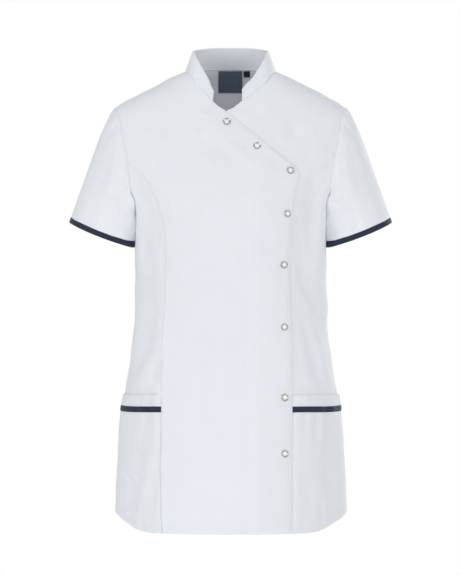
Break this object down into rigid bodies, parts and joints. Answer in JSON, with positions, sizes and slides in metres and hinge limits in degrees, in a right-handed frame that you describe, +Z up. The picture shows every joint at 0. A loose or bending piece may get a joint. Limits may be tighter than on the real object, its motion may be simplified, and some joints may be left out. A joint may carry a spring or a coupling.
{
  "type": "medical tunic",
  "caption": "Short-sleeved white medical tunic, worn and hollow, with a stand collar, a slanting snap front, hip pockets and navy edges.",
  "frame": {"origin": "between the shoulders, level with the sides of the neck, on the shoulder line: where the wearer holds the tunic up", "axes": "+Z up along the body, front towards -Y, the wearer's left at +X"},
  "size_m": [0.513, 0.2622, 0.7705],
  "materials": {
    "white_cloth": "plain woven poly-cotton, matt",
    "navy_cloth": "plain woven binding, matt",
    "snap_cap": "satin metal ring with a pearl middle",
    "label_cloth": "woven satin label, bare",
    "black_cloth": "woven tab, bare"
  },
  "bodies": {
    "root": {"front_right": "white_cloth", "side_front_right": "white_cloth", "front_left": "white_cloth", "back": "white_cloth", "collar": "white_cloth", "sleeve_right": "white_cloth", "sleeve_left": "white_cloth", "sleeve_binding_right": "navy_cloth", "sleeve_binding_left": "navy_cloth", "pocket_right": "white_cloth", "pocket_band_right": "white_cloth", "pocket_piping_right": "navy_cloth", "pocket_left": "white_cloth", "pocket_band_left": "white_cloth", "pocket_piping_left": "navy_cloth", "snap_1": "snap_cap", "snap_2": "snap_cap", "snap_3": "snap_cap", "snap_4": "snap_cap", "snap_5": "snap_cap", "snap_6": "snap_cap", "snap_7": "snap_cap", "snap_8": "snap_cap", "neck_label": "label_cloth", "size_tab": "black_cloth"}
  },
  "joints": []
}
